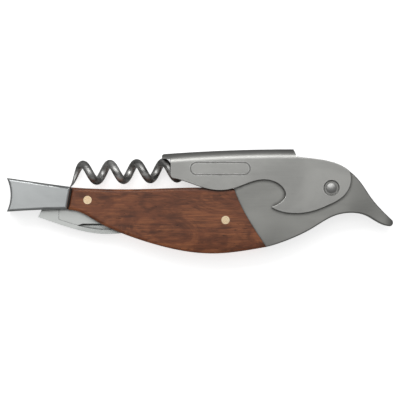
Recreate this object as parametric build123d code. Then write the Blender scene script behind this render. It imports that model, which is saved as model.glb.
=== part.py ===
from build123d import *
import os
from math import cos, pi, sin, sqrt

# Lever corkscrew in the shape of a bird, lying on its side.
# Drawing frame: X along the tool (tail at -X, beak at +X), Y up its back, Z through its thickness,
# zero at the lever's pivot (the bird's eye) on the middle plane.  Millimetres.

# ---- thickness, measured from the middle plane ----
liner_gap = 3.2          # space between the two liners, for the blade and the worm's hub
liner_thickness = 1.2
scale_thickness = 2.4    # wood on each side
tongue_thickness = 9.3   # head, which the lever's cheeks straddle
sheet = 1.25             # lever's sheet
washer_thickness = 0.25  # lever washers

# ---- clearances ----
run_fit = 0.05           # radial and axial play of anything that turns
liner_fit = 0.05         # liner tangs in the head casting
seam_gap = 0.3           # between the lever's lower edge and the wood
blade_gap = 0.3          # blade heel under the spring
liner_inset = 0.35       # liners stand back from the scales' outline

# ---- pivots and pins (x, y) and radii ----
tail_length = 23.2       # fishtail, from its joint with the wood
tail_width = 12.2        # across its points
tail_rise = 3.6          # upper point above the eye
tail_hollow = 1.4        # depth of the hollow end
tail_waist = (1.95, -7.95)
eye_at = (0.0, 0.0)
worm_pin_at = (-39.7, 6.9)
blade_pin_at = (-38.3, -11.6)
scale_pin_at = (-88.2, -4.35)
liner_rivets_at = [(-70.0, -3.6), (-52.0, -3.2)]
tail_pins_at = [(-100.5, -3.0), (-107.5, -2.6)]
bolster_pins_at = [(-25.5, -6.0), (-23.0, -12.5)]
eye_pin_radius = 1.3
brass_pin_radius = 1.5
worm_pin_radius = 1.4
rivet_radius = 1.0
bolster_pin_radius = 1.2

# ---- lever ----
bend_radius = 3.4        # outside of the fold
roof_bow = 630.0         # the roof is bowed along its length
roof_crest = (-13.7, 14.03)
roof_front = (-12.5, 11.35)
roof_tail_x = -61.3
cheek_tail_x = -58.2
eave = 10.6              # underside of the roof's overhang
seat_radius = 2.55       # sunk seat of the rivet head in each cheek
seat_floor = 0.45        # sheet left under the rivet head
seat_chamfer = 0.4
head_radius = 1.8        # rivet head
head_thickness = 0.25
dome_height = 0.42
plaque_at = (-40.2, 7.0)
plaque_size = (22.0, 4.9)
plaque_line = 0.5
plaque_depth = 0.35
plaque_field = 0.1       # sunk field inside the ring

# ---- worm ----
worm_droop = 1.6         # degrees that the folded worm points below the handle's line
wire_radius = 1.45
coil_room = 0.45         # between the folded coil and the lever's cheeks
pitch = 9.75
turns = 4.0
tip_from_pin = 55.2
tip_turns = 0.6          # length of the sharpened tip
tip_radius = 0.15
tip_flare = 0.5          # the tip stands out from the coil
lead_in = 6.6            # shank's bend from the coil to the axis
hub_wall = 1.8           # around the worm's pin
collar_wall = 0.9        # around the shank
collar_from_pin = 5.2
collar_length = 4.5
lug_wall = 2.6           # liner lugs, around the worm's pin
worm_head_lip = 0.7
worm_head_thickness = 0.7

# ---- blade ----
blade_thickness = 2.0
heel_radius = 5.6
grind_depth = 0.25
grind_start_x = -98.9
grind_end_x = -58.0
spine_strip = 1.7        # full thickness left along the spine
nick_depth = 0.8
nick_slope = 38.0        # degrees that the nick's floor leans
blade_washer_radius = 4.2

# ---- head casting and handle inside ----
lug_gap = 0.6            # tongue behind the liner lugs
belly_fall = 1.3         # face of the wood and the breast, lower at the belly
flat_low = -12.0         # where the face starts to fall
tang_start = -36.0
tang_end = -20.0
tang_low = -17.5
tang_high = -0.9
blind_depth = 1.2        # of the pins, past the front liner
washer_radius = 3.6
spring_low = -6.6
spring_end = -34.0
arm_root = -60.0
arm_slit = -4.4
arm_slit_width = 0.5

# ---- outlines ----
border = [(-23.6, -21.4), (-27.8, -15.0), (-31.6, -8.6), (-35.2, -0.3)]
back_line = [(-35.2, -0.3), (-52.5, 0.1), (-67.7, -0.4), (-83.8, -0.35), (-93.9, 0.2)]
belly = [(-95.35, -7.95), (-91.0, -8.75), (-84.9, -12.15), (-76.4, -16.2), (-65.0, -20.1),
         (-52.5, -23.0), (-41.7, -23.75), (-31.5, -22.75), (-23.6, -21.4)]
crown = [(-12.5, 11.2), (-4.8, 10.3), (1.7, 8.8), (6.6, 6.1), (10.4, 2.4), (14.7, -3.8),
         (19.05, -8.7), (21.9, -11.4)]
beak_tip = [(21.9, -11.4), (22.5, -12.9), (21.2, -13.9)]
throat = [(21.2, -13.9), (16.9, -12.4), (12.5, -9.9), (8.2, -9.05), (1.7, -9.9), (-7.0, -14.7),
          (-15.7, -18.85), (-23.6, -21.4)]
tail_joint = [(-94.2, 0.35), (-95.65, -7.6)]
cheek_lower = [(-58.2, 3.6), (-51.0, 1.7), (-45.1, -0.25), (-39.7, -0.85), (-34.3, 0.15),
               (-29.0, 2.15), (-24.2, 3.0), (-20.5, 2.2), (-17.4, -0.2), (-16.6, -2.6),
               (-18.1, -4.9), (-21.6, -6.7)]
cheek_front = [(-21.6, -7.1), (-18.0, -8.6), (-12.6, -9.2), (-7.2, -8.5), (-0.65, -6.0),
               (4.4, -2.9), (6.9, 1.5), (6.4, 6.3)]
cheek_crown = [(6.4, 6.3), (1.7, 8.95), (-4.8, 10.45), (-12.5, 11.35)]
blade_spine = [(-106.4, -10.6), (-98.5, -13.3), (-90.5, -15.6), (-81.5, -16.75), (-72.0, -16.0),
               (-58.0, -15.6), (-46.0, -16.9), (-38.3, -17.2)]
blade_edge = [(-38.3, -6.0), (-44.5, -7.4), (-104.7, -7.2)]
nick_upper = [(-92.1, -13.6), (-88.0, -12.6), (-82.5, -12.9), (-77.0, -15.0)]
nick_lower = [(-77.0, -15.0), (-84.5, -15.05), (-92.1, -13.6)]

# ---- worked out ----
liner_in = liner_gap / 2
liner_out = liner_in + liner_thickness
half_thick = liner_out + scale_thickness
tongue_half = tongue_thickness / 2
cheek_in = tongue_half + washer_thickness + run_fit
cheek_out = cheek_in + sheet
tail_half = cheek_out    # the tail and the lever's cheek lie on one plane
coil_radius = cheek_in - coil_room - wire_radius
hub_radius = worm_pin_radius + run_fit + hub_wall
collar_radius = wire_radius + collar_wall
lug_radius = worm_pin_radius + lug_wall
worm_head_radius = worm_pin_radius + worm_head_lip
tongue_tail = worm_pin_at[0] + lug_radius + lug_gap
head_sides = [(washer_radius + 0.4, tongue_half), (17.0, 0.7 * tongue_half), (22.6, 0.3 * tongue_half)]

# ---- roundings and details ----
edge_round = 1.1         # wood
tail_round = 0.9
head_round = 0.5
cheek_round = 0.2
cheek_corner = 1.2
lip_corner = 0.9         # tail end of the lever's roof
tongue_corner = 2.0
far = 200.0              # past everything
over = 2.0               # a cut or a bridge reaches this far past what it meets


def plate(edges, low, high):
    """Solid between two heights over a closed outline."""
    return extrude(Pos(0, 0, low) * make_face(edges), amount=high - low, dir=(0, 0, 1))


def rod(at, radius, low, high):
    """Round bar along Z."""
    return Pos(at[0], at[1], (low + high) / 2) * Cylinder(radius, high - low)


def block(x0, x1, y0, y1, z0, z1):
    """Box between corners."""
    return Pos((x0 + x1) / 2, (y0 + y1) / 2, (z0 + z1) / 2) * Box(x1 - x0, y1 - y0, z1 - z0)


def lowered(points, step):
    """The same points moved down."""
    return [(x, y - step) for x, y in points]


def crowned(low, high):
    """Everything between two heights, with the face falling away towards the belly."""
    bottom = min(y for x, y in belly) - over
    fall = Spline((0, flat_low, high), (0, bottom, high - belly_fall),
                  tangents=[(0, -1, 0), (0, -1, -belly_fall / 4)])
    rest = Polyline((0, bottom, high - belly_fall), (0, bottom, low), (0, far, low),
                    (0, far, high), (0, flat_low, high))
    return extrude(Pos(-far, 0, 0) * make_face([fall, rest]), amount=2 * far, dir=(1, 0, 0))


def set_in(solid, inset):
    """The solid, standing back from its own back and belly lines."""
    return solid & Pos(0, -inset, 0) * solid & Pos(0, inset, 0) * solid


def edges_at(solid, height):
    """Edges that lie flat at one height."""
    near = 0.001
    return solid.edges().filter_by_position(Axis.Z, height - near, height + near)


def both_sides(solid):
    """A front solid and its mirror image behind the middle plane."""
    return [solid, mirror(solid, Plane.XY)]


def bored(solid, holes, radius):
    """The solid with a round hole along Z at each place."""
    for at in holes:
        solid -= rod(at, radius, -far, far)
    return solid


# ---- handle: liners, spring, wood and fishtail ----

def handle_outline():
    back_end = back_line[-1]
    return [Spline(*back_line), Line(back_end, belly[0]), Spline(*belly), Spline(*border)]


def tail_outline():
    """Fishtail: back, hollow end, belly and the joint with the wood."""
    top, low = tail_joint
    end_x = top[0] - tail_length
    high_point = (end_x, tail_rise)
    low_point = (end_x, tail_rise - tail_width)
    hollow = (end_x + tail_hollow, tail_rise - tail_width / 2)
    middle_x = top[0] - tail_length / 2
    return [ThreePointArc(top, (middle_x, tail_waist[0]), high_point),
            ThreePointArc(high_point, hollow, low_point),
            ThreePointArc(low_point, (middle_x, tail_waist[1]), low), Line(low, top)]


def inner_plate(low, high):
    """The handle and tail as one plate, standing back from the wood and the bolsters."""
    handle = set_in(plate(handle_outline(), low, high), liner_inset)
    tail = set_in(plate(tail_outline(), low, high), liner_inset)
    top, bottom = tail_joint
    bridge = block(bottom[0] - over, top[0] + over, bottom[1] + liner_inset,
                   back_line[-1][1] - liner_inset, low, high)
    return handle + tail + bridge


def make_liner(low, high):
    """A liner, with the lug that holds the worm and the tang that enters the head."""
    solid = inner_plate(low, high)
    x, y = worm_pin_at
    solid += block(x - lug_radius, x + lug_radius, -over, y, low, high)
    solid += rod(worm_pin_at, lug_radius, low, high)
    solid += block(tang_start, tang_end, tang_low, tang_high, low, high)
    solid = bored(solid, liner_rivets_at + tail_pins_at, rivet_radius)
    solid = bored(solid, bolster_pins_at, bolster_pin_radius)
    solid = bored(solid, [scale_pin_at, blade_pin_at], brass_pin_radius)
    return bored(solid, [worm_pin_at], worm_pin_radius)


def make_spring():
    """Back spring: fills the back between the liners, and its arm presses on the blade's heel."""
    solid = inner_plate(-liner_in, liner_in)
    solid -= block(-far, far, -far, spring_low, -far, far)
    solid -= block(spring_end, far, -far, far, -far, far)
    heel_room = heel_radius + blade_gap
    solid -= rod(blade_pin_at, heel_room, -far, far)
    solid -= block(arm_root, far, arm_slit, arm_slit + arm_slit_width, -far, far)
    solid = bored(solid, liner_rivets_at + tail_pins_at, rivet_radius)
    return bored(solid, [scale_pin_at], brass_pin_radius)


def on_face(edge):
    """True for an edge around a crowned front face."""
    middle = edge @ 0.5
    return middle.Z > half_thick - belly_fall and abs((edge % 0.5).Z) < 0.5 and middle.Y != flat_low


def beside_head(edge):
    """True for an edge along the joint between the wood and the head."""
    middle = edge @ 0.5
    return middle.X > border[-1][0] and abs((edge % 0.5).Y) > 0.5


def make_scale():
    """Front wood scale, rounded along its back and belly."""
    solid = plate(handle_outline(), liner_out, half_thick) & crowned(liner_out, half_thick)
    solid = fillet([e for e in solid.edges() if on_face(e) and not beside_head(e)], edge_round)
    solid -= cheek_room()
    return bored(solid, [scale_pin_at, blade_pin_at], brass_pin_radius)


def make_tail_bolster():
    """Front half of the fishtail."""
    solid = plate(tail_outline(), liner_out, tail_half)
    solid = fillet(edges_at(solid, tail_half), tail_round)
    for at in tail_pins_at:
        solid -= rod(at, rivet_radius, liner_out, liner_out + blind_depth)
    return solid


# ---- head ----

def cheek_room():
    """Space over the wood's back that the lever's front cheek folds into."""
    under = lowered(cheek_lower[2:7], seam_gap)
    rest = Polyline(under[-1], (far, under[-1][1]), (far, far), (-far, far), (-far, under[0][1]), under[0])
    return plate([Spline(*under), rest], tongue_half, far)


def head_outline():
    """Breast, tongue, crown, beak and throat."""
    nose = border[-1]
    tongue_top = crown[0][1] - tongue_corner / 2
    return [Spline(*border), Line(nose, (tongue_tail, nose[1])),
            Line((tongue_tail, nose[1]), (tongue_tail, tongue_top - tongue_corner)),
            Line((tongue_tail, tongue_top - tongue_corner), (tongue_tail + tongue_corner, tongue_top)),
            Line((tongue_tail + tongue_corner, tongue_top), crown[0]),
            Spline(*crown), ThreePointArc(*beak_tip), Spline(*throat)]


def head_side():
    """Front half of the head seen from above: full at the breast, finest at the beak."""
    x0, z0 = head_sides[0]
    x1, z1 = head_sides[-1]
    side = Spline(*[(x, 0, z) for x, z in head_sides], tangents=[(1, 0, 0), (0.5, 0, -1)])
    rest = Polyline((x1, 0, z1), (x1, 0, 0), (-far, 0, 0), (-far, 0, z0), (x0, 0, z0))
    return extrude(Pos(0, -far, 0) * make_face([side, rest]), amount=2 * far, dir=(0, 1, 0))


def on_profile(edge):
    """True for the face edges along the breast, throat, beak and crown."""
    middle = edge @ 0.5
    along = edge % 0.5
    if middle.Z < 0.1 or abs(along.Z) > 0.9 or abs(along.Y) > 0.99 or abs(middle.Y - flat_low) < 0.2:
        return False
    return middle.X > crown[0][0] or (middle.X > border[0][0] and middle.Y < tang_low)


def make_head():
    """Head, breast and beak in one casting, with the tongue that the lever turns on."""
    front = plate(head_outline(), 0, tongue_half) & head_side() & crowned(0, tongue_half)
    front = fillet([e for e in front.edges() if on_profile(e)], head_round)
    front -= block(-far, tang_end + liner_fit, tang_low - liner_fit, tang_high + liner_fit, 0, liner_out)
    solid = front + mirror(front, Plane.XY)
    for at in bolster_pins_at:
        solid -= rod(at, bolster_pin_radius, -far, liner_out + blind_depth)
    return bored(solid, [eye_at], eye_pin_radius)


# ---- lever ----

def roof_y(x):
    """Height of the roof's outside along the lever."""
    return roof_crest[1] - roof_bow + sqrt(roof_bow ** 2 - (x - roof_crest[0]) ** 2)


def roof_bar(half_width, corner, drop):
    """Bar with the roof's bow and two rounded corners."""
    depth = 40.0
    half_turn = 8
    x, y = roof_crest
    section = Plane(origin=(x, y - drop - depth / 2, 0), x_dir=(0, 0, 1), z_dir=(1, 0, 0))
    face = section * RectangleRounded(2 * half_width, depth, corner)
    axis = Axis((x, y - roof_bow, 0), (0, 0, 1))
    return revolve(face, axis, half_turn) + revolve(face, axis, -half_turn)


def on_bend(edge):
    """True for the line where a flat cheek runs into the fold."""
    middle = edge @ 0.5
    return abs(middle.Y - roof_y(middle.X) + bend_radius) < cheek_round


def lever_outline():
    """Lever seen from the side: roof, overhanging lip, cheek, hook and crown."""
    lip_y = roof_y(roof_tail_x + lip_corner)
    lip = (roof_tail_x + lip_corner, lip_y)
    above = roof_crest[1] + over
    curve = Line((roof_tail_x, lip_y - lip_corner), (roof_tail_x, eave))
    return [Line((cheek_tail_x, eave), cheek_lower[0]), Spline(*cheek_lower),
            Line(cheek_lower[-1], cheek_front[0]), Spline(*cheek_front),
            Spline(*cheek_crown), Line(roof_front, roof_crest),
            Polyline(roof_crest, (roof_crest[0], above), (lip[0], above), lip),
            RadiusArc(lip, curve @ 0, -lip_corner), curve, Line(curve @ 1, (cheek_tail_x, eave))]


def rivet_seat():
    """Round seat for the rivet head in the front cheek, with a broken rim."""
    recess = rod(eye_at, seat_radius, cheek_in + seat_floor, far)
    rim = Pos(0, 0, cheek_out - seat_chamfer / 2) * Cone(seat_radius, seat_radius + seat_chamfer, seat_chamfer)
    return recess + rim


def oval(inset):
    """Outline of the pressed mark, stepped in."""
    length, width = plaque_size
    return Pos(*plaque_at, 0) * SlotOverall(length - 2 * inset, width - 2 * inset)


def make_lever():
    """Lever, folded from sheet: a bowed roof and two cheeks with the cap lifter's hook."""
    solid = roof_bar(cheek_out, bend_radius, 0) - roof_bar(cheek_in, bend_radius - sheet, sheet)
    solid &= plate(lever_outline(), -far, far)
    near = 0.01
    corners = solid.edges().filter_by(Axis.Z)
    corners = corners.filter_by_position(Axis.X, cheek_tail_x - near, cheek_tail_x + near)
    solid = fillet(corners.group_by(Axis.Y)[0], cheek_corner)
    for face_z in (cheek_out, -cheek_out):
        solid = fillet([e for e in edges_at(solid, face_z) if not on_bend(e)], cheek_round)
    for cut in both_sides(rivet_seat()):
        solid -= cut
    solid = bored(solid, [eye_at], eye_pin_radius + run_fit)
    solid -= extrude(Pos(0, 0, cheek_out - plaque_depth) * (oval(0) - oval(plaque_line)), amount=far)
    return solid - extrude(Pos(0, 0, cheek_out - plaque_field) * oval(plaque_line), amount=far)


def make_eye_pin():
    """Lever's rivet: a shank and two domed heads."""
    floor = cheek_in + seat_floor + run_fit
    solid = rod(eye_at, eye_pin_radius, -floor, floor)
    ball = (head_radius ** 2 + dome_height ** 2) / (2 * dome_height)
    rim = floor + head_thickness
    head = rod(eye_at, head_radius, floor, far)
    head &= Pos(0, 0, rim + dome_height - ball) * Sphere(ball)
    for part in both_sides(head):
        solid += part
    return solid


def make_ring_pair(at, hole, radius, low, high):
    """Two equal washers, one on each side of the middle plane."""
    return Compound([s for ring in both_sides(rod(at, radius, low, high) - rod(at, hole, low, high))
                     for s in ring.solids()])


# ---- worm ----

def to_worm(shape):
    """Places what is built along -X from the worm's pin."""
    return Pos(*worm_pin_at, 0) * Rot(0, 0, worm_droop) * shape


def wire_at(turn):
    """Centre of the wire after so many turns from the point, and its radius."""
    along = -tip_from_pin + pitch * turn
    radius = coil_radius
    wire = wire_radius
    if turn < tip_turns:
        wire = tip_radius + (wire_radius - tip_radius) * sin(pi / 2 * turn / tip_turns)
        radius = coil_radius + wire_radius - wire + tip_flare * (1 - turn / tip_turns) ** 2
    if turn > turns:
        part = min((turn - turns) * pitch / lead_in, 1)
        radius = coil_radius * (1 - part) ** 2 * (1 + 2 * part)
    angle = pi + 2 * pi * turn
    return Vector(along, radius * cos(angle), radius * sin(angle)), wire


def wire_path(start, end, per_turn):
    """Smooth line through the wire's centre."""
    steps = max(round((end - start) * per_turn), 4)
    return [wire_at(start + (end - start) * i / steps)[0] for i in range(steps + 1)]


def make_worm():
    """Worm: a sharpened point, the coil, and the bend into a straight shank."""
    points_per_turn = 12
    path = Spline(*wire_path(tip_turns, turns + lead_in / pitch, points_per_turn))
    start = Plane(origin=path @ 0, z_dir=path % 0)
    wire = sweep(start * Circle(wire_radius), path=path)
    rings = []
    steps = 7
    step = 0.01
    for i in range(steps):
        centre, radius = wire_at(tip_turns * i / steps)
        ahead = wire_at(tip_turns * i / steps + step)[0] - centre
        rings.append(Plane(origin=centre, z_dir=ahead) * Circle(radius))
    rings.append(start * Circle(wire_radius))
    shank_start = (path @ 1).X
    shank = -collar_from_pin - shank_start
    wire += Pos(shank_start + shank / 2, 0, 0) * Rot(0, 90, 0) * Cylinder(wire_radius, shank)
    return to_worm(wire + loft(rings))


def make_worm_hub():
    """Hub that turns on the worm's pin, with the collar that grips the shank."""
    side = liner_in - 2 * run_fit
    hub = Cylinder(hub_radius, 2 * side)
    hub += block(-collar_from_pin, 0, -side, side, -side, side)
    collar = Rot(0, 90, 0) * Cylinder(collar_radius, collar_length)
    hub += Pos(-collar_from_pin - collar_length / 2, 0, 0) * collar
    bore = Rot(0, 90, 0) * Cylinder(wire_radius, collar_length)
    hub -= Pos(-collar_from_pin - collar_length / 2, 0, 0) * bore
    hub -= Cylinder(worm_pin_radius + run_fit, far)
    return to_worm(hub)


def make_worm_pin():
    """Worm's pin, with a head outside each liner lug."""
    solid = rod(worm_pin_at, worm_pin_radius, -liner_out, liner_out)
    for head in both_sides(rod(worm_pin_at, worm_head_radius, liner_out,
                               liner_out + worm_head_thickness)):
        solid += head
    return solid


# ---- foil-cutter blade ----

def make_blade():
    """Blade, folded into the belly with its spine outside."""
    x, y = blade_pin_at
    heel = ThreePointArc((x, y - heel_radius), (x + heel_radius, y), (x, y + heel_radius))
    edges = [Spline(*blade_spine), heel, Polyline(*blade_edge), Line(blade_edge[-1], blade_spine[0])]
    half = blade_thickness / 2
    solid = plate(edges, -half, half)
    hollow = Pos(0, spine_strip, 0) * plate(edges, half - grind_depth, half)
    hollow &= block(grind_start_x, grind_end_x, -far, far, 0, far)
    for cut in both_sides(hollow):
        solid -= cut
    lens = plate([Spline(*nick_upper), Spline(*nick_lower)], -far, far)
    floor = Pos(*nick_upper[1], half) * Rot(nick_slope, 0, 0) * Pos(0, 0, far / 2) * Box(far, far, far)
    solid -= lens & floor & plate([Spline(*nick_upper), Spline(*nick_lower)], half - nick_depth, half)
    return bored(solid, [blade_pin_at], brass_pin_radius + run_fit)


def make_group(places, radius, low, high):
    """Equal pins as one group of separate solids."""
    return Compound([rod(at, radius, low, high).solid() for at in places])


def make_parts():
    liner = make_liner(liner_in, liner_out)
    scale = make_scale()
    tail = make_tail_bolster()
    back_tail = bored(mirror(tail, Plane.XY), tail_pins_at, rivet_radius)
    washer_low = blade_thickness / 2 + run_fit
    return {
        "head_casting": make_head(),
        "front_liner": liner,
        "back_liner": mirror(liner, Plane.XY),
        "back_spring": make_spring(),
        "front_wood_scale": scale,
        "back_wood_scale": mirror(scale, Plane.XY),
        "front_tail_bolster": tail,
        "back_tail_bolster": back_tail,
        "scale_pin": rod(scale_pin_at, brass_pin_radius, -half_thick, half_thick),
        "blade_pivot_pin": rod(blade_pin_at, brass_pin_radius, -half_thick, half_thick),
        "liner_rivets": make_group(liner_rivets_at, rivet_radius, -liner_out, liner_out),
        "tail_pins": make_group(tail_pins_at, rivet_radius, -tail_half, liner_out + blind_depth),
        "bolster_pins": make_group(bolster_pins_at, bolster_pin_radius, -tongue_half,
                                   liner_out + blind_depth),
        "worm_pin": make_worm_pin(),
        "lever_pivot_pin": make_eye_pin(),
        "lever_washers": make_ring_pair(eye_at, eye_pin_radius, washer_radius, tongue_half,
                                        tongue_half + washer_thickness),
        "lever": make_lever(),
        "worm": make_worm(),
        "worm_hub": make_worm_hub(),
        "foil_blade": make_blade(),
        "blade_washers": make_ring_pair(blade_pin_at, brass_pin_radius, blade_washer_radius,
                                        washer_low, liner_in),
    }


parts = make_parts()
whole = Compound([s for part in parts.values() for s in part.solids()]).bounding_box()
shift = Vector(-whole.center().X, -whole.center().Y, -whole.min.Z)
os.makedirs("parts", exist_ok=True)
for name, solid in parts.items():
    export_step(Pos(*shift) * solid, f"parts/{name}.step")
print("size", whole.size)
for name, at in {"lever": eye_at, "worm": worm_pin_at, "blade": blade_pin_at}.items():
    print(name, "pivot", Vector(*at) + shift)
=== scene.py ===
import math

import bpy
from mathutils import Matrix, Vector

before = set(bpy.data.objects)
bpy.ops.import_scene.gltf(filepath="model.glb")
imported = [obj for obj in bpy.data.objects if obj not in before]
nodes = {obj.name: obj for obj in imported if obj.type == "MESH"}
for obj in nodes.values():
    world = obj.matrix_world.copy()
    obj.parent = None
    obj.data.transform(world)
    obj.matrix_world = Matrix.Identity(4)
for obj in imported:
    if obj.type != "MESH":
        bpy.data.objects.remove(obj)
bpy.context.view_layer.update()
mm = 0.001

# straight down on the folded tool; width is what the view takes in at the height of the lever's face
view = {"width": 144.6 * mm, "distance": 0.95, "faceHeight": 11.5 * mm, "aimX": -0.1 * mm, "aimY": 0.5 * mm,
        "filmWidth": 36.0, "near": 0.01, "far": 20.0}
floorLook = {"size": 3.0, "gap": 0.1 * mm, "colour": (0.93, 0.93, 0.93, 1), "roughness": 0.8, "glow": 0.70}
# place, size across and along, watts
lamps = {
    "nearPanel": {"at": (-0.02, 0.125, 0.20), "size": (0.34, 0.07), "power": 0.20},
    "overPanel": {"at": (-0.10, 0.30, 1.25), "size": (1.10, 0.40), "power": 1.3},
}
# grey of the room in bands, the last of them where lean points
room = {"strength": 0.60, "lean": (0.0, 0.45, 0.89),
        "bands": [(0.0, 0.55), (0.30, 0.18), (0.62, 0.42), (0.80, 0.42), (1.0, 1.0)]}


def makeCamera():
    data = bpy.data.cameras.new("viewCamera")
    data.sensor_width = view["filmWidth"]
    reach = view["distance"] - view["faceHeight"]
    data.lens = data.sensor_width * reach / view["width"]
    data.clip_start = view["near"]
    data.clip_end = view["far"]
    camera = bpy.data.objects.new("viewCamera", data)
    camera.location = (view["aimX"], view["aimY"], view["distance"])
    bpy.context.scene.collection.objects.link(camera)
    bpy.context.scene.camera = camera


def makeRoom():
    world = bpy.data.worlds.new("studio")
    world.use_nodes = True
    tree = world.node_tree
    place = addNode(tree, "ShaderNodeTexCoord")
    height = addNode(tree, "ShaderNodeVectorMath", {"operation": "DOT_PRODUCT"})
    join(tree, place.outputs["Generated"], height.inputs[0])
    height.inputs[1].default_value = room["lean"]
    share = addNode(tree, "ShaderNodeMapRange", None, From_Min=-1, From_Max=1)
    join(tree, height.outputs["Value"], share.inputs["Value"])
    ramp = addNode(tree, "ShaderNodeValToRGB")
    while len(ramp.color_ramp.elements) < len(room["bands"]):
        ramp.color_ramp.elements.new(0.5)
    for stop, (position, level) in zip(ramp.color_ramp.elements, room["bands"]):
        stop.position = position
        stop.color = (level, level, level, 1)
    join(tree, share.outputs["Result"], ramp.inputs["Fac"])
    background = tree.nodes["Background"]
    join(tree, ramp.outputs["Color"], background.inputs["Color"])
    background.inputs["Strength"].default_value = room["strength"]
    return world


def makeLamps():
    for name, lamp in lamps.items():
        data = bpy.data.lights.new(name, "AREA")
        data.shape = "RECTANGLE"
        data.size, data.size_y = lamp["size"]
        data.energy = lamp["power"]
        panel = bpy.data.objects.new(name, data)
        panel.location = lamp["at"]
        panel.rotation_euler = (-Vector(lamp["at"])).to_track_quat("-Z", "Y").to_euler()  # at the tool
        bpy.context.scene.collection.objects.link(panel)


def makeFloor():
    half = floorLook["size"] / 2
    corners = [(-half, -half, 0), (half, -half, 0), (half, half, 0), (-half, half, 0)]
    mesh = bpy.data.meshes.new("floor")
    mesh.from_pydata(corners, [], [(0, 1, 2, 3)])
    floor = bpy.data.objects.new("floor", mesh)
    floor.location.z = -floorLook["gap"]
    bpy.context.scene.collection.objects.link(floor)
    material, shader = newMaterial("floorPaper")
    shader.inputs["Base Color"].default_value = floorLook["colour"]
    shader.inputs["Roughness"].default_value = floorLook["roughness"]
    shader.inputs["Emission Color"].default_value = floorLook["colour"]
    shader.inputs["Emission Strength"].default_value = floorLook["glow"]
    mesh.materials.append(material)
    floor.visible_glossy = False


def makeStudio():
    bpy.context.scene.view_settings.view_transform = "Standard"
    bpy.context.scene.world = makeRoom()
    makeLamps()
    makeFloor()


def newMaterial(name):
    material = bpy.data.materials.new(name)
    material.use_nodes = True
    return material, material.node_tree.nodes["Principled BSDF"]


def addNode(tree, kind, settings=None, **sockets):
    node = tree.nodes.new(kind)
    for key, value in (settings or {}).items():
        setattr(node, key, value)
    for key, value in sockets.items():
        node.inputs[key.replace("_", " ")].default_value = value
    return node


def join(tree, source, target):
    tree.links.new(source, target)


def newGroup(name, inputs, outputs):
    group = bpy.data.node_groups.new(name, "ShaderNodeTree")
    for label, value in inputs.items():
        socket = group.interface.new_socket(label, in_out="INPUT", socket_type="NodeSocketFloat")
        socket.default_value = value
    for label in outputs:
        group.interface.new_socket(label, in_out="OUTPUT", socket_type="NodeSocketFloat")
    return group, group.nodes.new("NodeGroupInput"), group.nodes.new("NodeGroupOutput")


def placeGroup(tree, group, **values):
    node = tree.nodes.new("ShaderNodeGroup")
    node.node_tree = group
    for label, value in values.items():
        node.inputs[label].default_value = value
    return node


def reckon(tree, operation, first, second, clamp=False):
    node = addNode(tree, "ShaderNodeMath", {"operation": operation, "use_clamp": clamp})
    for socket, value in zip(node.inputs, (first, second)):
        if isinstance(value, (int, float)):
            socket.default_value = value
        else:
            join(tree, value, socket)
    return node.outputs[0]


# smooth step from low to high; low may be the larger
def spread(tree, value, low, high, toLow=0.0, toHigh=1.0):
    node = addNode(tree, "ShaderNodeMapRange", {"interpolation_type": "SMOOTHSTEP"},
                   From_Min=low, From_Max=high, To_Min=toLow, To_Max=toHigh)
    join(tree, value, node.inputs["Value"])
    return node.outputs["Result"]


# noise drawn out along the tool and turned in its plane
def grainNoise(tree, scale, grain):
    place = addNode(tree, "ShaderNodeTexCoord")
    turned = addNode(tree, "ShaderNodeMapping", None, Scale=grain["stretch"], Rotation=(0, 0, grain["turn"]))
    join(tree, place.outputs["Object"], turned.inputs["Vector"])
    noise = addNode(tree, "ShaderNodeTexNoise", None, Detail=grain["detail"], Roughness=grain["roughness"],
                    Distortion=grain["swirl"])
    join(tree, turned.outputs["Vector"], noise.inputs["Vector"])
    join(tree, scale, noise.inputs["Scale"])
    return noise.outputs["Fac"]


def mixColours(tree, factor, low, high):
    node = addNode(tree, "ShaderNodeMix", {"data_type": "RGBA"})
    colours = [socket for socket in node.inputs if socket.type == "RGBA"]
    for socket, value in zip(colours, (low, high)):
        if isinstance(value, tuple):
            socket.default_value = (*value, 1.0)
        else:
            join(tree, value, socket)
    join(tree, factor, node.inputs["Factor"])
    return [socket for socket in node.outputs if socket.type == "RGBA"][0]


# lays colour over what is below, by the mask and how strong it may get
def layOver(tree, mask, amount, below, colour):
    return mixColours(tree, reckon(tree, "MULTIPLY", mask, amount), below, colour)


# rubbed bright and painted highlight where a corner turns within width, with gaps left by chance; the wood
# lays painted shade on its edges with this mask
edgeWearAndLight = {"width": 0.4 * mm, "samples": 4, "turned": (0.99, 0.86),
           "gaps": {"scale": 500.0, "stretch": (1, 1, 1), "turn": 0, "detail": 4.0, "roughness": 0.6,
                    "swirl": 0, "mask": (0.30, 0.62)}}


def makeEdgeWearAndLightGroup():
    gaps = edgeWearAndLight["gaps"]
    sizes = {"Width": edgeWearAndLight["width"], "Breakup": gaps["scale"]}
    group, inside, outside = newGroup("edgeWearAndLight", sizes, ["Mask"])
    bevel = addNode(group, "ShaderNodeBevel", {"samples": edgeWearAndLight["samples"]})
    join(group, inside.outputs["Width"], bevel.inputs["Radius"])
    surface = addNode(group, "ShaderNodeNewGeometry")
    dot = addNode(group, "ShaderNodeVectorMath", {"operation": "DOT_PRODUCT"})
    join(group, bevel.outputs["Normal"], dot.inputs[0])
    join(group, surface.outputs["Normal"], dot.inputs[1])
    turned = spread(group, dot.outputs["Value"], *edgeWearAndLight["turned"])
    broken = spread(group, grainNoise(group, inside.outputs["Breakup"], gaps), *gaps["mask"])
    join(group, reckon(group, "MULTIPLY", turned, broken), outside.inputs["Mask"])
    return group


# painted shade: dark where a neighbour or a wall closes in within reach; patches thin it, down to least
paintedShadeLook = {"reach": 1.2 * mm, "samples": 8, "closed": (0.92, 0.45),
           "patches": {"scale": 900.0, "stretch": (1, 1, 1), "turn": 0, "detail": 4.0, "roughness": 0.6,
                       "swirl": 0, "mask": (0.25, 0.75), "least": 0.7}}


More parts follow.
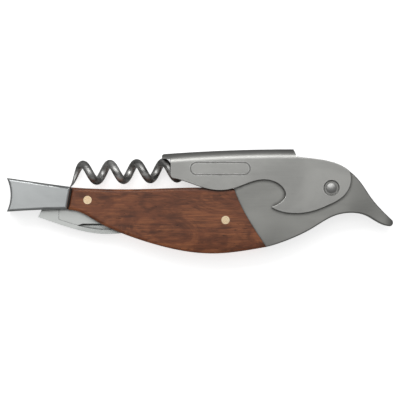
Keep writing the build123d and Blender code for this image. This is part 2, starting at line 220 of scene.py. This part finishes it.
def makePaintedShadeGroup():
    patches = paintedShadeLook["patches"]
    sizes = {"Reach": paintedShadeLook["reach"], "Patches": patches["scale"]}
    group, inside, outside = newGroup("paintedShadeLook", sizes, ["Mask"])
    hidden = addNode(group, "ShaderNodeAmbientOcclusion", {"samples": paintedShadeLook["samples"]})
    join(group, inside.outputs["Reach"], hidden.inputs["Distance"])
    shade = spread(group, hidden.outputs["AO"], *paintedShadeLook["closed"])
    patchy = grainNoise(group, inside.outputs["Patches"], patches)
    patchy = spread(group, patchy, *patches["mask"], patches["least"])
    join(group, reckon(group, "MULTIPLY", shade, patchy), outside.inputs["Mask"])
    return group


# blasted and lightly brushed metal: fine grit, long hair lines and cloudy patches
satinFinish = {
    "Grit": {"scale": 5200.0, "stretch": (1, 1, 1), "turn": 0, "detail": 4.0, "roughness": 0.6, "swirl": 0,
             "relief": 0.6},
    "Hair": {"scale": 1500.0, "stretch": (0.045, 1, 1), "turn": 0, "detail": 5.0, "roughness": 0.65,
             "swirl": 0, "relief": 0.4, "mask": (0.30, 0.70)},
    "Cloud": {"scale": 70.0, "stretch": (0.6, 1, 1), "turn": 0, "detail": 4.0, "roughness": 0.55,
              "swirl": 0.4, "mask": (0.28, 0.72)},
}


def makeSatinGroup():
    scales = {name: grain["scale"] for name, grain in satinFinish.items()}
    group, inside, outside = newGroup("satinFinish", scales, ["Height", "Hairline", "Patch"])
    noise = {name: grainNoise(group, inside.outputs[name], grain) for name, grain in satinFinish.items()}
    grit = reckon(group, "MULTIPLY", noise["Grit"], satinFinish["Grit"]["relief"])
    hair = reckon(group, "MULTIPLY", noise["Hair"], satinFinish["Hair"]["relief"])
    join(group, reckon(group, "ADD", grit, hair), outside.inputs["Height"])
    join(group, spread(group, noise["Hair"], *satinFinish["Hair"]["mask"]), outside.inputs["Hairline"])
    join(group, spread(group, noise["Cloud"], *satinFinish["Cloud"]["mask"]), outside.inputs["Patch"])
    return group


# faint smears that handling leaves, slanting across the tool
handled = {"scale": 120.0, "stretch": (0.5, 1.3, 1), "turn": 0.6, "detail": 6.0, "roughness": 0.7,
           "swirl": 1.2, "mask": (0.52, 0.78)}


def makeHandledGroup():
    group, inside, outside = newGroup("handled", {"Smear": handled["scale"]}, ["Smear"])
    smear = grainNoise(group, inside.outputs["Smear"], handled)
    join(group, spread(group, smear, *handled["mask"]), outside.inputs["Smear"])
    return group


# rosewood along the handle: broad figure, fine fibres, short dark pores and slanting flames
timber = {
    "Figure": {"scale": 230.0, "stretch": (0.26, 1, 1), "turn": 0.06, "detail": 6.0, "roughness": 0.62,
               "swirl": 2.4, "mask": (0.34, 0.66)},
    "Fibre": {"scale": 1500.0, "stretch": (0.05, 1, 1), "turn": 0.04, "detail": 8.0, "roughness": 0.72,
              "swirl": 0.8, "mask": (0.30, 0.70)},
    "Pore": {"scale": 2600.0, "stretch": (0.14, 1, 1), "turn": 0.04, "detail": 3.0, "roughness": 0.6,
             "swirl": 0.6, "mask": (0.62, 0.72)},
    "Flame": {"scale": 95.0, "stretch": (0.5, 1, 1), "turn": -0.25, "detail": 4.0, "roughness": 0.6,
              "swirl": 2.6, "mask": (0.36, 0.66)},
}


def makeTimberGroup():
    scales = {name: grain["scale"] for name, grain in timber.items()}
    group, inside, outside = newGroup("timber", scales, list(timber))
    for name, grain in timber.items():
        noise = grainNoise(group, inside.outputs[name], grain)
        join(group, spread(group, noise, *grain["mask"]), outside.inputs[name])
    return group


# what a metal has unless its own row says otherwise
plainMetal = {"grain": {}, "bump": 0.25, "bumpDepth": 0.03 * mm, "hairTint": 0.25, "smear": 0.25,
              # the crevice settings below lay near-black painted shade where walls close in
              "edge": edgeWearAndLight["width"], "edgeWearAndPaintedLight": 0.5, "reach": paintedShadeLook["reach"], "paintedShade": 0.85,
              "paintedShadeColour": (0.02, 0.019, 0.017), "roughSpread": 0.04, "smearDulls": 0.06, "rubPolishes": 0.10}
metals = {
    # painted shade: a darker copy of the lever's steel, for the shade over the head and breast
    "headSteelPaintedShade": {"dark": (0.29, 0.29, 0.275), "light": (0.38, 0.38, 0.36), "wornAndHighlightColour": (0.66, 0.66, 0.64),
                  "rough": 0.40, "reach": 1.8 * mm},
    "leverSteel": {"dark": (0.36, 0.36, 0.345), "light": (0.45, 0.45, 0.43), "wornAndHighlightColour": (0.9, 0.9, 0.88),
                   "rough": 0.36, "reach": 2.0 * mm, "edgeWearAndPaintedLight": 0.9, "edge": 0.5 * mm},
    # painted light: a lighter copy of the same steel, for the light on the tail
    "tailSteelPaintedLight": {"dark": (0.46, 0.48, 0.48), "light": (0.56, 0.58, 0.58), "wornAndHighlightColour": (0.9, 0.9, 0.9),
                  "rough": 0.36, "paintedShade": 0.35, "edgeWearAndPaintedLight": 0.9, "edge": 0.6 * mm},
    # painted light: a lighter copy of the steel, to make up for the shade the blade lies in below the handle
    "bladeSteelPaintedLight": {"dark": (0.60, 0.62, 0.60), "light": (0.72, 0.74, 0.72), "wornAndHighlightColour": (0.9, 0.9, 0.9),
                   "rough": 0.30, "hairTint": 0.4, "bump": 0.12, "reach": 2.2 * mm, "paintedShade": 1.0},
    "linerSteel": {"dark": (0.30, 0.30, 0.29), "light": (0.42, 0.42, 0.41), "wornAndHighlightColour": (0.7, 0.7, 0.7),
                   "rough": 0.40, "hairTint": 0.5},
    "pinSteel": {"dark": (0.30, 0.30, 0.29), "light": (0.42, 0.42, 0.41), "wornAndHighlightColour": (0.8, 0.8, 0.8),
                 "rough": 0.36, "edge": 0.2 * mm, "reach": 1.5 * mm},
    "wormSteel": {"dark": (0.15, 0.15, 0.145), "light": (0.74, 0.74, 0.72), "wornAndHighlightColour": (0.6, 0.6, 0.6),
                  "rough": 0.42, "grain": {"Hair": 3500.0, "Cloud": 330.0}, "bump": 0.9, "edgeWearAndPaintedLight": 0.2,
                  "paintedShade": 0.5},
    "pinBrass": {"dark": (1.0, 0.70, 0.42), "light": (1.0, 0.88, 0.62), "wornAndHighlightColour": (1.0, 0.92, 0.7),
                 "rough": 0.28, "edge": 0.2 * mm, "paintedShade": 0.2},
    "washerBronze": {"dark": (0.45, 0.27, 0.12), "light": (0.60, 0.38, 0.18), "wornAndHighlightColour": (0.85, 0.6, 0.35),
                     "rough": 0.35, "edge": 0.1 * mm},
}


def satinMetal(name, changes):
    look = {**plainMetal, **changes}
    material, shader = newMaterial(name)
    tree = material.node_tree
    finish = placeGroup(tree, satinGroup, **look["grain"])
    edge = placeGroup(tree, edgeWearAndLightGroup, Width=look["edge"])
    marks = placeGroup(tree, handledGroup)
    paintedShade = placeGroup(tree, paintedShadeGroup, Reach=look["reach"])
    colour = mixColours(tree, finish.outputs["Patch"], look["dark"], look["light"])
    colour = layOver(tree, finish.outputs["Hairline"], look["hairTint"], colour, look["light"])
    colour = layOver(tree, marks.outputs["Smear"], look["smear"], colour, look["dark"])
    # worn edges with painted highlight: the pale edge colour laid on by the edge mask
    colour = layOver(tree, edge.outputs["Mask"], look["edgeWearAndPaintedLight"], colour, look["wornAndHighlightColour"])
    # painted shade: near black laid where neighbours or walls close in
    colour = layOver(tree, paintedShade.outputs["Mask"], look["paintedShade"], colour, look["paintedShadeColour"])
    join(tree, colour, shader.inputs["Base Color"])
    smoothest = look["rough"] - look["roughSpread"]
    roughest = look["rough"] + look["roughSpread"]
    rough = spread(tree, finish.outputs["Patch"], 0, 1, smoothest, roughest)
    dulled = reckon(tree, "MULTIPLY", marks.outputs["Smear"], look["smearDulls"])
    rough = reckon(tree, "ADD", rough, dulled)
    polished = reckon(tree, "MULTIPLY", edge.outputs["Mask"], look["rubPolishes"])
    rough = reckon(tree, "SUBTRACT", rough, polished, True)
    join(tree, rough, shader.inputs["Roughness"])
    shader.inputs["Metallic"].default_value = 1.0
    bump = addNode(tree, "ShaderNodeBump", None, Strength=look["bump"], Distance=look["bumpDepth"])
    join(tree, finish.outputs["Height"], bump.inputs["Height"])
    join(tree, bump.outputs["Normal"], shader.inputs["Normal"])
    return material


# the dark pore colour also serves as painted shade on the wood's edges and in its crevices
rosewood = {"dark": (0.085, 0.023, 0.008), "mid": (0.205, 0.060, 0.022), "light": (0.44, 0.150, 0.054),
            "poreAndShade": (0.024, 0.007, 0.004), "flameLight": (0.15, 0.85), "poreTint": 0.8,
            "edge": 0.6 * mm, "edgeWearAndPaintedLight": 0.35, "reach": 1.5 * mm, "paintedShade": 0.9,
            "rough": 0.40, "roughSpread": 0.12, "poreDulls": 0.2,
            "bump": 0.35, "bumpDepth": 0.06 * mm, "fibreRelief": 0.4}


def oiledWood(name, look):
    material, shader = newMaterial(name)
    tree = material.node_tree
    grain = placeGroup(tree, timberGroup)
    edge = placeGroup(tree, edgeWearAndLightGroup, Width=look["edge"])
    paintedShade = placeGroup(tree, paintedShadeGroup, Reach=look["reach"])
    colour = mixColours(tree, grain.outputs["Figure"], look["dark"], look["mid"])
    flame = spread(tree, grain.outputs["Flame"], 0, 1, *look["flameLight"])
    lit = reckon(tree, "MULTIPLY", grain.outputs["Fibre"], flame)
    colour = mixColours(tree, lit, colour, look["light"])
    colour = layOver(tree, grain.outputs["Pore"], look["poreTint"], colour, look["poreAndShade"])
    # painted shade: the wood's edges darkened with the pore colour by the edge mask
    colour = layOver(tree, edge.outputs["Mask"], look["edgeWearAndPaintedLight"], colour, look["poreAndShade"])
    # painted shade: the dark pore colour laid where neighbours or walls close in
    colour = layOver(tree, paintedShade.outputs["Mask"], look["paintedShade"], colour, look["poreAndShade"])
    join(tree, colour, shader.inputs["Base Color"])
    rough = spread(tree, grain.outputs["Fibre"], 0, 1, look["rough"], look["rough"] + look["roughSpread"])
    dulled = reckon(tree, "MULTIPLY", grain.outputs["Pore"], look["poreDulls"])
    join(tree, reckon(tree, "ADD", rough, dulled, True), shader.inputs["Roughness"])
    fibres = reckon(tree, "MULTIPLY", grain.outputs["Fibre"], look["fibreRelief"])
    bump = addNode(tree, "ShaderNodeBump", None, Strength=look["bump"], Distance=look["bumpDepth"])
    join(tree, reckon(tree, "SUBTRACT", fibres, grain.outputs["Pore"]), bump.inputs["Height"])
    join(tree, bump.outputs["Normal"], shader.inputs["Normal"])
    return material


# each piece's finish, and the turn in degrees past which an edge stays sharp
sharpFrom = 28
finishes = {
    "head_casting": "headSteelPaintedShade", "lever": "leverSteel", "lever_pivot_pin": "pinSteel",
    "lever_washers": "washerBronze", "front_liner": "linerSteel", "back_liner": "linerSteel",
    "back_spring": "linerSteel", "liner_rivets": "pinSteel", "tail_pins": "tailSteelPaintedLight",
    "bolster_pins": "headSteelPaintedShade", "front_tail_bolster": "tailSteelPaintedLight", "back_tail_bolster": "tailSteelPaintedLight",
    "front_wood_scale": "rosewood", "back_wood_scale": "rosewood", "scale_pin": "pinBrass",
    "blade_pivot_pin": "pinBrass", "foil_blade": "bladeSteelPaintedLight", "blade_washers": "washerBronze",
    "worm": "wormSteel", "worm_hub": "pinSteel", "worm_pin": "pinSteel",
}


def dressNodes():
    materials = {name: satinMetal(name, changes) for name, changes in metals.items()}
    materials["rosewood"] = oiledWood("rosewood", rosewood)
    for name, piece in nodes.items():
        piece.data.materials.clear()
        piece.data.materials.append(materials[finishes[name]])
        piece.data.shade_smooth()
        piece.data.set_sharp_from_angle(angle=math.radians(sharpFrom))


makeCamera()
print("camera set")
satinGroup = makeSatinGroup()
edgeWearAndLightGroup = makeEdgeWearAndLightGroup()
paintedShadeGroup = makePaintedShadeGroup()
handledGroup = makeHandledGroup()
timberGroup = makeTimberGroup()
print("shared effects built")
makeStudio()
print("studio lit")
dressNodes()
print("nodes dressed")
